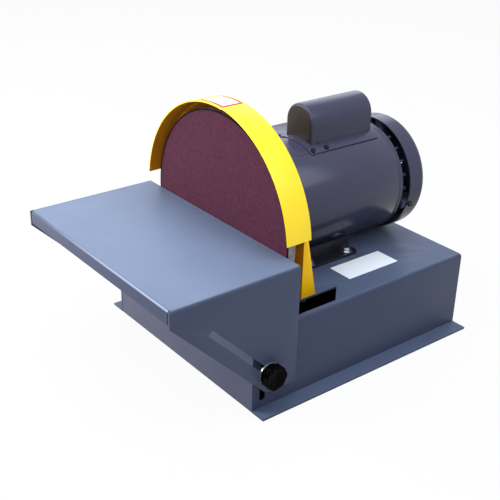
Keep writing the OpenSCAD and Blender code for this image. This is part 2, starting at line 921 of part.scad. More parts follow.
module fan_cover() {
  color(grey_motor) difference() {
    turned() intersection() {
      translate([0, cover_y]) difference() {
        fold_rect(2 * cover_r_out, cover_l, cover_r);
        translate([0, -cut])
          fold_rect(2 * (cover_r_out - cover_t), cover_l - cover_t + cut, cover_r - cover_t);
      }
      translate([0, cover_y]) square([cover_r_out, cover_l]);
    }
    for (k = [0:grille_count - 1]) around_shaft(k * 360 / grille_count)
      along_y(cover_end - cover_r / 2, cover_end + cut) slot(grille_in, grille_out, grille_w);
    at_cover_screws() translate([0, 0, -cover_screw_l])
      cylinder(d = cover_screw_d + 2 * run_gap, h = 2 * cover_screw_l);
  }
}

module fan_cover_screws() {
  color(zinc) at_cover_screws()
    pan_screw(cover_screw_d, cover_screw_l, cover_screw_head_d, cover_screw_head_t);
}

// Capacitor cover

// Screw heads on the saddle flange, local Z square to the shell
module at_cap_screws() {
  x = saddle_w / 2 - cap_screw_inset;
  tilt = asin(x / (shell_r + saddle_t));
  for (side = [-1, 1], y = cap_screw_y)
    translate([0, cap_y + y - saddle_lead, shaft_z]) rotate([0, side * tilt, 0])
      translate([0, 0, shell_r + saddle_t + seat_gap]) children();
}

// Solid of the pressed cover, drawn in by t
module cap_form(t) {
  w = cap_w - 2 * t;
  h = cap_h - t;
  l = cap_l - 2 * t;
  r = cap_edge_r - t / 2;
  translate([0, cap_y + t, shaft_z]) intersection() {
    along_y(0, l) dome_outline(w, h);
    along_x(-cap_w, cap_w) translate([l / 2, 0]) fold_rect(l, h, r);
    translate([0, l / 2, 0]) linear_extrude(cap_h) round_rect(w, l, r);
  }
}

module capacitor_cover() {
  color(grey_motor) difference() {
    union() {
      cap_form(0);
      intersection() {
        ring(shell_r, shell_r + saddle_t, cap_y - saddle_lead, cap_y + cap_l + saddle_trail);
        translate([-saddle_w / 2, 0, shaft_z]) cube([saddle_w, base_d, cap_h]);
      }
    }
    cap_form(cap_t);
    translate([0, 0, shaft_z]) rod_y(2 * (shell_r + seat_gap), cap_y - cover_l, cap_y + cap_l + cover_l);
    cap_screw_holes();
  }
}

module capacitor_screws() {
  color(black) at_cap_screws() pan_screw(cap_screw_d, cap_screw_l, cap_screw_head_d, cap_screw_head_t);
}

// Capacitor can on two feet that stand on the shell
module start_capacitor() {
  can_z = shaft_z + shell_r + capacitor_r + capacitor_clip_t;
  can_y = cap_y + (cap_l - capacitor_l) / 2;
  color(black) difference() {
    union() {
      translate([0, 0, can_z]) rod_y(2 * capacitor_r, can_y, can_y + capacitor_l);
      for (y = [can_y + capacitor_r, can_y + capacitor_l - capacitor_r])
        translate([-capacitor_r / 2, y, shaft_z + shell_r / 2])
          cube([capacitor_r, capacitor_clip_t, can_z - shaft_z - shell_r / 2]);
    }
    translate([0, 0, shaft_z]) rod_y(2 * (shell_r + seat_gap), can_y - cut, can_y + capacitor_l + cut);
  }
}

// Conduit box with its switch, on the motor's left side

module conduit_box() {
  color(grey_motor) difference() {
    translate([box_x, box_y, box_z]) cube([box_out + shell_r / 2, box_l, box_h]);
    difference() {
      translate([box_x - cut, box_y + box_t, box_z + box_t])
        cube([box_out + shell_r, box_l - 2 * box_t, box_h - 2 * box_t]);
      at_box_screws() translate([0, 0, -box_post_l]) cylinder(d = box_post_d, h = box_post_l);
    }
    translate([0, 0, shaft_z]) rod_y(2 * (shell_r + seat_gap), box_y - cut, box_y + box_l + cut);
    at_box_screws() translate([0, 0, -box_screw_l - cut])
      cylinder(d = box_screw_d + 2 * run_gap, h = box_out);
    at_gland() rod_y(gland_d - 2 * box_t + 2 * run_gap, -box_t - cut, cut);
  }
}

// Screw posts in two opposite corners, local Z pointing out of the lid's seat
module at_box_screws() {
  for (end = [-1, 1])
    translate([box_x, box_mid_y + end * (box_l / 2 - box_screw_inset),
      box_mid_z + end * (box_h / 2 - box_screw_inset)]) rotate([0, -90, 0]) children();
}

module conduit_cover() {
  color(grey_motor) difference() {
    translate([box_x - box_lid_t, box_mid_y, box_mid_z]) rotate([90, 0, 90])
      linear_extrude(box_lid_t - seat_gap) round_rect(box_l, box_h, box_lip);
    at_box_screws() translate([0, 0, -cut])
      cylinder(d = box_screw_d + 2 * bolt_gap, h = box_lid_t + 2 * cut);
    at_switch() rod_x(switch_neck_d + 2 * run_gap, -box_lid_t - cut, cut);
  }
}

module conduit_screws() {
  color(zinc) at_box_screws() translate([0, 0, box_lid_t])
    pan_screw(box_screw_d, box_screw_l, box_screw_head_d, box_screw_head_t);
}

// Rear wall of the box, where the supply lead would come in
module at_gland() {
  translate([box_x + box_out / 2, box_y + box_l, box_mid_z - box_h / 4]) children();
}

module cord_gland() {
  color(black) at_gland() difference() {
    union() {
      rod_y(gland_d, seat_gap, gland_l);
      rotate([-90, 0, 0]) translate([0, 0, seat_gap]) cylinder(d = gland_nut_d, h = gland_nut_t, $fn = 6);
      rod_y(gland_d - 2 * box_t, -2 * box_t, gland_nut_t);
    }
    rod_y(gland_bore_d, -gland_l, gland_l + cut);
  }
}

// Middle of the lid's inner face
module at_switch() {
  translate([box_x, box_mid_y, box_mid_z]) children();
}

module switch_body() {
  color(black) at_switch() difference() {
    union() {
      translate([0, -switch_l / 2, -switch_h / 2]) cube([switch_deep, switch_l, switch_h]);
      rod_x(switch_neck_d, -switch_neck_l, switch_deep / 2);
      rotate([0, -90, 0]) translate([0, 0, box_lid_t])
        cylinder(d = switch_nut_d, h = switch_nut_t, $fn = 6);
    }
    translate([-switch_neck_l, 0, 0]) sphere(d = bat_pocket_d);
    translate([-switch_neck_l - cut, 0, 0]) rotate([0, 90, 0]) cylinder(d = bat_pocket_d, h = cut);
  }
}

// Lever on its pivot barrel, resting in the lower position
module switch_toggle() {
  color(silver) at_switch() translate([-switch_neck_l, 0, 0]) rotate([0, -90 - bat_rest, 0]) {
    rod_y(bat_pivot_d, -bat_pivot_l / 2, bat_pivot_l / 2);
    cylinder(d = bat_d, h = bat_l);
    translate([0, 0, bat_l]) sphere(d = bat_tip_d);
  }
}

// Table and its clamp

module table() {
  lip_half = cheek_in - lip_slit;
  color(grey_table) difference() {
    union() {
      difference() {
        intersection() {
          along_y(table_front, table_rear) translate([0, cheek_z])
            fold_channel(table_w, table_z - cheek_z, table_fold_r, table_t);
          along_x(-table_w, table_w) polygon([
            [table_front, table_z + cut], [table_front, slope_sum - table_front],
            [slope_sum - cheek_z, cheek_z], [table_rear, cheek_z], [table_rear, table_z + cut]
          ]);
        }
        translate([-cheek_in, table_front - cut, cheek_z])
          cube([2 * cheek_in, table_fold_r + cut, table_z]);
      }
      along_x(-lip_half, lip_half) translate([table_front, table_z])
        fold_corner(lip_h, table_fold_r + table_t, table_fold_r, table_t);
    }
    along_x(-table_w, table_w) translate([clamp_y, clamp_z]) rotate(135)
      slot(cheek_slot_w / 2 - bush_l / 2 - slot_end_gap, cheek_slot_run, cheek_slot_w);
  }
}

// Both clamp axes, drawn on the right and mirrored
module at_clamp() {
  both_sides() translate([0, clamp_y, clamp_z]) children();
}

module clamp_bolts() {
  color(zinc) at_clamp() {
    head_x = side_in - slide_gap - carriage_head_t;
    rod_x(carriage_head_d, head_x, head_x + carriage_head_t);
    translate([head_x, -carriage_neck / 2, -carriage_neck / 2])
      cube([carriage_head_t + slide_gap + base_t, carriage_neck, carriage_neck]);
    rod_x(stud_d, head_x, stud_end);
  }
}

module clamp_spacers() {
  x0 = base_w / 2 + slide_gap;
  x1 = bush_x - slide_gap;
  color(zinc) at_clamp() difference() {
    rod_x(spacer_d, x0, x1);
    rod_x(stud_d + 2 * seat_gap, x0 - cut, x1 + cut);
  }
}

module slot_bushes() {
  color(steel) at_clamp() difference() {
    union() {
      rod_x(bush_flange_d, bush_x, bush_x + bush_flange_t);
      along_x(bush_x, cheek_out - slide_gap) rotate(135)
        slot((bush_w - bush_l) / 2, (bush_l - bush_w) / 2, bush_w);
    }
    rod_x(stud_d + 2 * run_gap, bush_x - cut, cheek_out + cut);
  }
}

// Knob parts, drawn about the clamp axis on the right

module knob_washer() {
  color(zinc) difference() {
    rod_x(washer_d, washer_x, washer_x + washer_t);
    rod_x(stud_d + 2 * bolt_gap, washer_x - cut, washer_x + washer_t + cut);
  }
}

// Lobed outline of the knob's head
module knob_outline() {
  lobe_r = knob_d / 2 * knob_lobe_share;
  circle(d = knob_d * knob_core_share);
  for (k = [0:knob_lobes - 1]) rotate(k * 360 / knob_lobes)
    translate([knob_d / 2 - lobe_r, 0]) circle(lobe_r);
}

module knob() {
  head_x = knob_x + knob_hub_t;
  color(black) difference() {
    union() {
      rod_x(knob_hub_d, knob_x, head_x + knob_t / 2);
      intersection() {
        along_x(head_x, knob_end) knob_outline();
        translate([head_x, 0, 0]) rotate([0, 90, 0]) rotate_extrude() intersection() {
          translate([0, knob_t / 2]) round_rect(knob_d, knob_t, knob_edge_r);
          square([knob_d / 2, knob_t]);
        }
      }
    }
    rod_x(insert_d + 2 * seat_gap, knob_x - cut, knob_end - knob_cap);
    rod_x(insert_flange_d + 2 * seat_gap, knob_x - cut, knob_x + insert_flange_t);
  }
}

module knob_insert() {
  color(brass) difference() {
    union() {
      rod_x(insert_d, knob_x, knob_end - knob_cap - seat_gap);
      rod_x(insert_flange_d, knob_x, knob_x + insert_flange_t - seat_gap);
    }
    rod_x(stud_d + 2 * run_gap, knob_x - cut, knob_end);
  }
}

module right_clamp() {
  translate([0, clamp_y, clamp_z]) children();
}

module left_clamp() {
  mirror([1, 0, 0]) right_clamp() children();
}

module right_washer() {
  right_clamp() knob_washer();
}

module right_knob() {
  right_clamp() knob();
}

module right_knob_insert() {
  right_clamp() knob_insert();
}

module left_washer() {
  left_clamp() knob_washer();
}

module left_knob() {
  left_clamp() knob();
}

module left_knob_insert() {
  left_clamp() knob_insert();
}

placed() base_shell();
placed() front_panel();
placed() rear_panel();
placed() guard_band();
placed() guard_back();
placed() guard_bolts();
placed() guard_nuts();
placed() motor_foot();
placed() foot_washers();
placed() foot_bolts();
placed() foot_nuts();
placed() motor_shell();
placed() front_bell();
placed() rear_bell();
placed() through_bolts();
placed() stator_core();
placed() stator_windings();
placed() start_switch();
placed() wave_washer();
placed() bearing_outer_races();
placed() bearing_inner_races();
placed() bearing_balls();
placed() motor_shaft();
placed() rotor_core();
placed() governor();
placed() cooling_fan();
placed() fan_cover();
placed() fan_cover_screws();
placed() capacitor_cover();
placed() start_capacitor();
placed() capacitor_screws();
placed() conduit_box();
placed() conduit_cover();
placed() conduit_screws();
placed() cord_gland();
placed() switch_body();
placed() switch_toggle();
placed() disc_plate();
placed() abrasive_disc();
placed() shaft_key();
placed() hub_set_screws();
placed() clamp_bolts();
placed() clamp_spacers();
placed() slot_bushes();
placed() table();
placed() right_washer();
placed() right_knob();
placed() right_knob_insert();
placed() left_washer();
placed() left_knob();
placed() left_knob_insert();
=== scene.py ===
import json
import math

import bpy
from mathutils import Matrix, Vector

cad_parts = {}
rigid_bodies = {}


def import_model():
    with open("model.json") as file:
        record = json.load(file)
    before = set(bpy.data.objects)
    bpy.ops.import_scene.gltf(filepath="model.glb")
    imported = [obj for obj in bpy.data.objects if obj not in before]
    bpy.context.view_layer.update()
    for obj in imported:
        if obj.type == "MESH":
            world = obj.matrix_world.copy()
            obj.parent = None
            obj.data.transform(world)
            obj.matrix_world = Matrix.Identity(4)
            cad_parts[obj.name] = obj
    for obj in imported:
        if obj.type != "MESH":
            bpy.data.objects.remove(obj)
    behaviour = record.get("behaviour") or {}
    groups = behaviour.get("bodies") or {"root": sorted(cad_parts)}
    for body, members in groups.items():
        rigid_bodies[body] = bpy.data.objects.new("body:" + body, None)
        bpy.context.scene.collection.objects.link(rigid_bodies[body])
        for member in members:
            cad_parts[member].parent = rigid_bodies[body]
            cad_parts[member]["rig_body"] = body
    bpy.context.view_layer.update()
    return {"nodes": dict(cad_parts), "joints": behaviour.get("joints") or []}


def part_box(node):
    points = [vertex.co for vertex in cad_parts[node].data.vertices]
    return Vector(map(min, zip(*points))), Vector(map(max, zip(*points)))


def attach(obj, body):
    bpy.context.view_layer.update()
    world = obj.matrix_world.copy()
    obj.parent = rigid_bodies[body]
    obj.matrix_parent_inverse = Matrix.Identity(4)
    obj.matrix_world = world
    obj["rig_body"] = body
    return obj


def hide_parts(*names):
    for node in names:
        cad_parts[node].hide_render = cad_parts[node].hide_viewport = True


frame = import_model()

# Base shell and its end panels
# One steel sheet folded into a deck, two sides and out-turned flanges, with a panel welded in at each end.
# All three are sprayed grey, the panels painted a shade paler as painted light where the table shades them,
# and the paint rounds the cut edges a little.

PAINT_EDGE = 0.0006
WELD_DISTANCE = 0.000002
FLAT_WITHIN = math.radians(0.3)
SHARP_FROM = math.radians(38)
SMOOTH_WITHIN = math.radians(32)


def shader_node(tree, kind, inputs=None, **settings):
    made = tree.nodes.new("ShaderNode" + kind)
    for name, value in settings.items():
        setattr(made, name, value)
    for name, value in (inputs or {}).items():
        if isinstance(value, bpy.types.NodeSocket):
            tree.links.new(value, made.inputs[name])
        else:
            made.inputs[name].default_value = value
    return made


def shader_group(name, inputs, outputs):
    tree = bpy.data.node_groups.new(name, "ShaderNodeTree")
    for label, kind, value in inputs:
        tree.interface.new_socket(label, in_out="INPUT", socket_type=kind).default_value = value
    for label, kind in outputs:
        tree.interface.new_socket(label, in_out="OUTPUT", socket_type=kind)
    return tree, tree.nodes.new("NodeGroupInput"), tree.nodes.new("NodeGroupOutput")


# Sprayed enamel: a slow drift of shade, a few dust specks in the film and its fine peel
paint_film, film_in, film_out = shader_group(
    "paint_film",
    [("Paint", "NodeSocketColor", (0.1, 0.1, 0.1, 1)), ("Drift", "NodeSocketFloat", 0.06),
     ("Roughness", "NodeSocketFloat", 0.35), ("Peel Scale", "NodeSocketFloat", 420.0)],
    [("Color", "NodeSocketColor"), ("Roughness", "NodeSocketFloat"), ("Height", "NodeSocketFloat")])
place = shader_node(paint_film, "TexCoord").outputs["Object"]
drift = shader_node(paint_film, "TexNoise", {"Vector": place, "Scale": 7.0, "Detail": 4.0, "Roughness": 0.55})
drift_low = shader_node(paint_film, "Math", {0: 1.0, 1: film_in.outputs["Drift"]}, operation="SUBTRACT")
drift_high = shader_node(paint_film, "Math", {0: 1.0, 1: film_in.outputs["Drift"]}, operation="ADD")
shade = shader_node(paint_film, "MapRange", {
    "Value": drift.outputs["Fac"], "From Min": 0.3, "From Max": 0.7,
    "To Min": drift_low.outputs[0], "To Max": drift_high.outputs[0]})
shaded = shader_node(paint_film, "HueSaturation", {
    "Color": film_in.outputs["Paint"], "Value": shade.outputs["Result"]})
speck = shader_node(paint_film, "TexNoise", {"Vector": place, "Scale": 1100.0, "Detail": 1.0})
speck_mask = shader_node(paint_film, "MapRange", {
    "Value": speck.outputs["Fac"], "From Min": 0.7, "From Max": 0.76, "To Min": 0.0, "To Max": 0.12})
speckled = shader_node(paint_film, "Mix", {
    0: speck_mask.outputs["Result"], 6: shaded.outputs["Color"], 7: (0.55, 0.58, 0.62, 1)}, data_type="RGBA")
haze = shader_node(paint_film, "TexNoise", {"Vector": place, "Scale": 23.0, "Detail": 3.0})
haze_step = shader_node(paint_film, "MapRange", {
    "Value": haze.outputs["Fac"], "From Min": 0.3, "From Max": 0.7, "To Min": -0.04, "To Max": 0.05})
rough = shader_node(paint_film, "Math", {
    0: film_in.outputs["Roughness"], 1: haze_step.outputs["Result"]}, operation="ADD")
peel = shader_node(paint_film, "TexNoise", {
    "Vector": place, "Scale": film_in.outputs["Peel Scale"], "Detail": 2.0})
paint_film.links.new(speckled.outputs[2], film_out.inputs["Color"])
paint_film.links.new(rough.outputs[0], film_out.inputs["Roughness"])
paint_film.links.new(peel.outputs["Fac"], film_out.inputs["Height"])


def grouped_material(name, group, values, bump, **plain):
    material = bpy.data.materials.new(name)
    material.use_nodes = True
    tree = material.node_tree
    surface = tree.nodes["Principled BSDF"]
    skin = tree.nodes.new("ShaderNodeGroup")
    skin.node_tree = group
    for label, value in values.items():
        skin.inputs[label].default_value = value
    for label in ("Color", "Roughness"):
        tree.links.new(skin.outputs[label], surface.inputs["Base Color" if label == "Color" else label])
    relief = shader_node(tree, "Bump", {
        "Strength": bump[0], "Distance": bump[1], "Height": skin.outputs["Height"]})
    tree.links.new(relief.outputs["Normal"], surface.inputs["Normal"])
    for label, value in plain.items():
        surface.inputs[label.replace("_", " ")].default_value = value
    return material


def enamel(name, paint, rough, shine, drift=0.05, peel=420.0, relief=0.12, depth=0.0003):
    return grouped_material(
        name, paint_film, {"Paint": (*paint, 1), "Drift": drift, "Roughness": rough, "Peel Scale": peel},
        bump=(relief, depth), Specular_IOR_Level=shine)


def finish_mesh(piece, *modifiers):
    bpy.context.view_layer.objects.active = piece
    for kind, settings in modifiers:
        bpy.ops.object.modifier_add(type=kind)
        added = piece.modifiers[-1]
        for name, value in settings.items():
            setattr(added, name, value)
        bpy.ops.object.modifier_apply(modifier=added.name)
    bpy.ops.object.shade_smooth_by_angle(angle=SMOOTH_WITHIN)


def deburred(node, edge, material):
    source = frame["nodes"][node]
    bpy.ops.object.select_all(action="DESELECT")
    piece = bpy.data.objects.new(node + "_finished", source.data.copy())
    bpy.context.scene.collection.objects.link(piece)
    bpy.context.view_layer.objects.active = piece
    piece.select_set(True)
    bpy.ops.mesh.customdata_custom_splitnormals_clear()
    bpy.ops.object.mode_set(mode="EDIT")
    bpy.ops.mesh.select_all(action="SELECT")
    bpy.ops.mesh.remove_doubles(threshold=WELD_DISTANCE)
    bpy.ops.mesh.dissolve_limited(angle_limit=FLAT_WITHIN)
    bpy.ops.object.mode_set(mode="OBJECT")
    finish_mesh(piece, ("BEVEL", {"width": edge, "segments": 2, "limit_method": "ANGLE",
                                  "angle_limit": SHARP_FROM}))
    piece.data.materials.clear()
    piece.data.materials.append(material)
    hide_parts(node)
    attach(piece, source["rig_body"])
    return piece


# Dust and painted light: the paint shifts to a lighter tone the more a face looks up, with a soft mottle, so
# lit tops and shaded sides and undersides are painted into the colour
dust_and_top_light, top_light_in, top_light_out = shader_group(
    "dust_and_top_light",
    [("Low Tone", "NodeSocketColor", (0.1, 0.1, 0.1, 1)), ("Lit Tone", "NodeSocketColor", (0.2, 0.2, 0.2, 1)),
     ("Lit Share", "NodeSocketFloat", 0.8), ("Unlit Below", "NodeSocketFloat", 0.75),
     ("Full Above", "NodeSocketFloat", 0.98)],
    [("Color", "NodeSocketColor")])
place = shader_node(dust_and_top_light, "TexCoord").outputs["Object"]
facing = shader_node(dust_and_top_light, "SeparateXYZ", {
    0: shader_node(dust_and_top_light, "TexCoord").outputs["Normal"]})
upward = shader_node(dust_and_top_light, "MapRange", {
    "Value": facing.outputs["Z"], "From Min": top_light_in.outputs["Unlit Below"],
    "From Max": top_light_in.outputs["Full Above"], "To Min": 0.0, "To Max": 1.0})
light_mottle = shader_node(dust_and_top_light, "TexNoise", {
    "Vector": place, "Scale": 9.0, "Detail": 5.0, "Roughness": 0.6})
film = shader_node(dust_and_top_light, "MapRange", {
    "Value": light_mottle.outputs["Fac"], "From Min": 0.3, "From Max": 0.7, "To Min": 0.88, "To Max": 1.04})
upward_lit = shader_node(dust_and_top_light, "Math", {
    0: upward.outputs["Result"], 1: film.outputs["Result"]}, operation="MULTIPLY")
cover = shader_node(dust_and_top_light, "Math", {
    0: upward_lit.outputs[0], 1: top_light_in.outputs["Lit Share"]}, operation="MULTIPLY")
top_lit = shader_node(dust_and_top_light, "Mix", {
    0: cover.outputs[0], 6: top_light_in.outputs["Low Tone"], 7: top_light_in.outputs["Lit Tone"]}, data_type="RGBA")
dust_and_top_light.links.new(top_lit.outputs[2], top_light_out.inputs["Color"])


# Paints the lighter top tone over a material: painted light on faces that look up, with a little dust
def paint_dust_and_top_light(material, lit_tone, cover, unlit_below=0.75, full_above=0.98):
    tree = material.node_tree
    dust_and_light = tree.nodes.new("ShaderNodeGroup")
    dust_and_light.node_tree = dust_and_top_light
    for label, value in (("Lit Tone", (*lit_tone, 1)), ("Lit Share", cover),
                         ("Unlit Below", unlit_below), ("Full Above", full_above)):
        dust_and_light.inputs[label].default_value = value
    surface = tree.nodes["Principled BSDF"]
    tree.links.new(surface.inputs["Base Color"].links[0].from_socket, dust_and_light.inputs["Low Tone"])
    tree.links.new(dust_and_light.outputs["Color"], surface.inputs["Base Color"])


# The deck and flanges take a lighter top tone: painted light, with a little dust
base_enamel = enamel("grey_enamel", (0.0455, 0.0565, 0.103), rough=0.42, shine=0.15)
paint_dust_and_top_light(base_enamel, (0.102, 0.135, 0.226), 0.58)
# The paler panel grey is painted light: it lifts the front panel in the table's shade
panel_enamel = enamel("panel_enamel", (0.069, 0.077, 0.127), rough=0.42, shine=0.15)
for node, paint in (("base_shell", base_enamel), ("front_panel", panel_enamel), ("rear_panel", panel_enamel)):
    deburred(node, PAINT_EDGE, paint)

# Guard
# A rolled steel band stands round the top half of the disc on a pressed arch with two gusseted legs.
# Both are sprayed a bright gloss yellow; the arch and legs take a deeper orange copy as painted shade, faces
# turned away are painted dark brown as shade, and a painted shadow line runs along the band's inner front
# edge on the right.

GUARD_PEEL = 360.0
GUARD_RELIEF = 0.1
ARCH_EDGE = 0.0005
BAND_EDGE = 0.0007
BAND_T = 0.002
INNER_EDGE_SHARE = 0.45
SHADOW_LINE_FROM_X = 0.02
TURNED_AWAY = -0.3
ROUND_SIDES = 360
ROLLED_SHARP_FROM = math.radians(40)
PLAIN_PAINT, PAINTED_SHADE, SHADOW_LINE_PAINT = range(3)
guard_enamel = enamel("guard_enamel", (0.97, 0.7, 0.038), rough=0.3, shine=0.15, drift=0.03,
                      peel=GUARD_PEEL, relief=GUARD_RELIEF)
# The legs' deeper orange copy of the yellow is painted shade
leg_enamel = enamel("leg_enamel", (0.97, 0.54, 0.007), rough=0.3, shine=0.15, drift=0.03,
                    peel=GUARD_PEEL, relief=GUARD_RELIEF)
# Dark brown painted shade for the band's inside and the legs' fronts
painted_shade_enamel = enamel("painted_shade_enamel", (0.6, 0.22, 0.006), rough=0.5, shine=0.1, drift=0.12,
                        peel=GUARD_PEEL, relief=GUARD_RELIEF)
# A near black painted shadow line along the band's inner front edge on the right
painted_shadow_line = enamel("painted_shadow_line", (0.018, 0.008, 0.004), rough=0.8, shine=0.05, drift=0.12,
                     peel=GUARD_PEEL, relief=GUARD_RELIEF)


def paint_shade_faces(piece, shade):
    piece.data.materials.append(painted_shade_enamel)
    piece.data.materials.append(painted_shadow_line)
    for face in piece.data.polygons:
        face.material_index = shade(face)


arch = deburred("guard_back", ARCH_EDGE, leg_enamel)
# Faces of the arch and legs that turn to the front get the painted shade
paint_shade_faces(arch, lambda face: PAINTED_SHADE if face.normal.y < TURNED_AWAY else PLAIN_PAINT)


def joint_place(name):
    return next(joint for joint in frame["joints"] if joint["name"] == name)["pos_m"]


shaft_z = joint_place("spindle_spin")[2]
band_low, band_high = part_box("guard_band")
band_r = band_high.x


def round_blank(name, radius, ends, middle_z, sides=ROUND_SIDES, cap="NGON"):
    bpy.ops.object.select_all(action="DESELECT")
    bpy.ops.mesh.primitive_cylinder_add(
        vertices=sides, radius=radius, depth=ends[1] - ends[0], end_fill_type=cap,
        location=(0, (ends[0] + ends[1]) / 2, middle_z), rotation=(math.pi / 2, 0, 0))
    blank = bpy.context.object
    blank.name = name
    bpy.ops.object.transform_apply(location=True, rotation=True, scale=True)
    return blank


def rolled_strip(name, radius, thick, ends, cuts, edge):
    strip = round_blank(name, radius, ends, shaft_z, cap="NOTHING")
    bpy.ops.object.mode_set(mode="EDIT")
    for point, normal in cuts:
        bpy.ops.mesh.select_all(action="SELECT")
        bpy.ops.mesh.bisect(plane_co=point, plane_no=normal, clear_inner=True)
    bpy.ops.object.mode_set(mode="OBJECT")
    finish_mesh(strip, ("SOLIDIFY", {"thickness": thick, "offset": -1}),
                ("BEVEL", {"width": edge, "segments": 3, "limit_method": "ANGLE",
                           "angle_limit": ROLLED_SHARP_FROM}))
    return strip


band = rolled_strip("guard_band_rolled", band_r, BAND_T, (band_low.y, band_high.y),
                    [((0, 0, band_low.z), (0, 0, 1))], BAND_EDGE)
band.data.materials.append(guard_enamel)


# Inside faces get painted shade, and the inner front edge on the right gets a painted shadow line
def band_shade(face):
    out = face.center - Vector((0, face.center.y, shaft_z))
    inner_edge = face.normal.y < TURNED_AWAY and out.length < band_r - INNER_EDGE_SHARE * BAND_T
    if inner_edge and out.x > SHADOW_LINE_FROM_X:
        return SHADOW_LINE_PAINT
    return PAINTED_SHADE if face.normal.dot(out) < TURNED_AWAY * out.length else PLAIN_PAINT


paint_shade_faces(band, band_shade)
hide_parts("guard_band")
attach(band, "base")

# Zinc plated bolts, nuts and washers
# Hex bolts through the deck hold the guard's legs and the motor's foot, with plain washers on the foot.
# The bright zinc has a faint crystalline bloom and patches that have dulled.

HEX_EDGE = 0.0007
SMALL_EDGE = 0.0004
zinc_bloom, bloom_in, bloom_out = shader_group(
    "zinc_bloom",
    [("Metal", "NodeSocketColor", (0.6, 0.6, 0.6, 1)), ("Roughness", "NodeSocketFloat", 0.3),
     ("Grain", "NodeSocketFloat", 900.0)],
    [("Color", "NodeSocketColor"), ("Roughness", "NodeSocketFloat"), ("Height", "NodeSocketFloat")])
place = shader_node(zinc_bloom, "TexCoord").outputs["Object"]
crystal = shader_node(zinc_bloom, "TexVoronoi", {"Vector": place, "Scale": bloom_in.outputs["Grain"]})
tarnish = shader_node(zinc_bloom, "TexNoise", {"Vector": place, "Scale": 160.0, "Detail": 4.0})
tone = shader_node(zinc_bloom, "MapRange", {
    "Value": tarnish.outputs["Fac"], "From Min": 0.3, "From Max": 0.7, "To Min": 0.78, "To Max": 1.1})
toned = shader_node(zinc_bloom, "HueSaturation", {
    "Color": bloom_in.outputs["Metal"], "Value": tone.outputs["Result"]})
dull = shader_node(zinc_bloom, "MapRange", {
    "Value": tarnish.outputs["Fac"], "From Min": 0.3, "From Max": 0.7, "To Min": 0.1, "To Max": -0.06})
dulled = shader_node(zinc_bloom, "Math", {
    0: bloom_in.outputs["Roughness"], 1: dull.outputs["Result"]}, operation="ADD")
zinc_bloom.links.new(toned.outputs["Color"], bloom_out.inputs["Color"])
zinc_bloom.links.new(dulled.outputs[0], bloom_out.inputs["Roughness"])
zinc_bloom.links.new(crystal.outputs["Distance"], bloom_out.inputs["Height"])


def metal_finish(name, metal, rough, grain, relief=0.06, depth=0.0002):
    return grouped_material(
        name, zinc_bloom, {"Metal": (*metal, 1), "Roughness": rough, "Grain": grain},
        bump=(relief, depth), Metallic=1.0)


zinc_plate = metal_finish("zinc_plate", (0.56, 0.61, 0.68), rough=0.28, grain=1400.0)
for node, edge in (("guard_bolts", HEX_EDGE), ("guard_nuts", HEX_EDGE), ("foot_washers", SMALL_EDGE),
                   ("foot_bolts", HEX_EDGE), ("foot_nuts", HEX_EDGE), ("through_bolts", SMALL_EDGE),
                   ("conduit_screws", SMALL_EDGE)):
    deburred(node, edge, zinc_plate)
dull_zinc = metal_finish("dull_zinc", (0.06, 0.06, 0.068), rough=0.5, grain=1400.0)
deburred("fan_cover_screws", SMALL_EDGE, dull_zinc)

# Motor housing
# A welded tube between a front and a finned rear end bell, on a foot plate with two webs that is painted near
# black as shade.
# The castings and the tube share a charcoal semi-gloss enamel, painted darker underneath as shade and lighter
# on the sides and top as painted light.

MOTOR_PEEL = 300.0
MOTOR_RELIEF = 0.1
CAST_EDGE = 0.0009
BELL_EDGE = 0.001
TUBE_EDGE = 0.0006
motor_enamel = enamel("motor_enamel", (0.012, 0.0125, 0.026), rough=0.2, shine=0.24,
                      peel=MOTOR_PEEL, relief=MOTOR_RELIEF)
# Painted shade and light: the underside keeps the near black tone, and faces from the sides up take the
# lighter tone
paint_dust_and_top_light(motor_enamel, (0.0445, 0.0445, 0.083), 1.0, unlit_below=-0.55, full_above=0.1)
# The foot plate is painted near black as shade, for the shade between the motor and the deck
foot_enamel = enamel("foot_enamel", (0.013, 0.013, 0.021), rough=0.3, shine=0.2,
                     peel=MOTOR_PEEL, relief=MOTOR_RELIEF)
for node, edge, paint in (("motor_foot", CAST_EDGE, foot_enamel), ("motor_shell", TUBE_EDGE, motor_enamel),
                          ("front_bell", BELL_EDGE, motor_enamel), ("rear_bell", CAST_EDGE, motor_enamel)):
    deburred(node, edge, paint)

# Inside the motor
# Steel laminations, varnished windings, the turning rotor with its governor, the bearings and the fan.
# They show only through the air gap at the rear, so each keeps its solid and gets its own finish.

bare_steel = metal_finish("bare_steel", (0.42, 0.42, 0.43), rough=0.38, grain=700.0, relief=0.08)
winding_varnish = metal_finish("winding_varnish", (0.55, 0.2, 0.07), rough=0.34, grain=420.0,
                               relief=0.5, depth=0.0006)
turned_brass = metal_finish("turned_brass", (0.72, 0.5, 0.18), rough=0.3, grain=900.0)
black_oxide = metal_finish("black_oxide", (0.03, 0.03, 0.035), rough=0.42, grain=1200.0, relief=0.08)
moulded_black = enamel("moulded_black", (0.016, 0.016, 0.018), rough=0.46, shine=0.5, drift=0.1,
                       peel=900.0, relief=0.18, depth=0.0002)
for material, nodes in (
        (bare_steel, ("stator_core", "wave_washer", "bearing_outer_races", "bearing_inner_races",
                      "bearing_balls", "motor_shaft", "rotor_core", "shaft_key")),
        (winding_varnish, ("stator_windings",)),
        (turned_brass, ("start_switch",)),
        (moulded_black, ("governor", "cooling_fan", "start_capacitor")),
        (black_oxide, ("hub_set_screws",))):
    for node in nodes:
        frame["nodes"][node].data.materials.clear()
        frame["nodes"][node].data.materials.append(material)

# Fan cover
# A pressed steel cap over the fan, with slots in its flat end, screwed to three lugs of the rear bell.
# It carries the motor's enamel, and its open rim has a rounded edge.

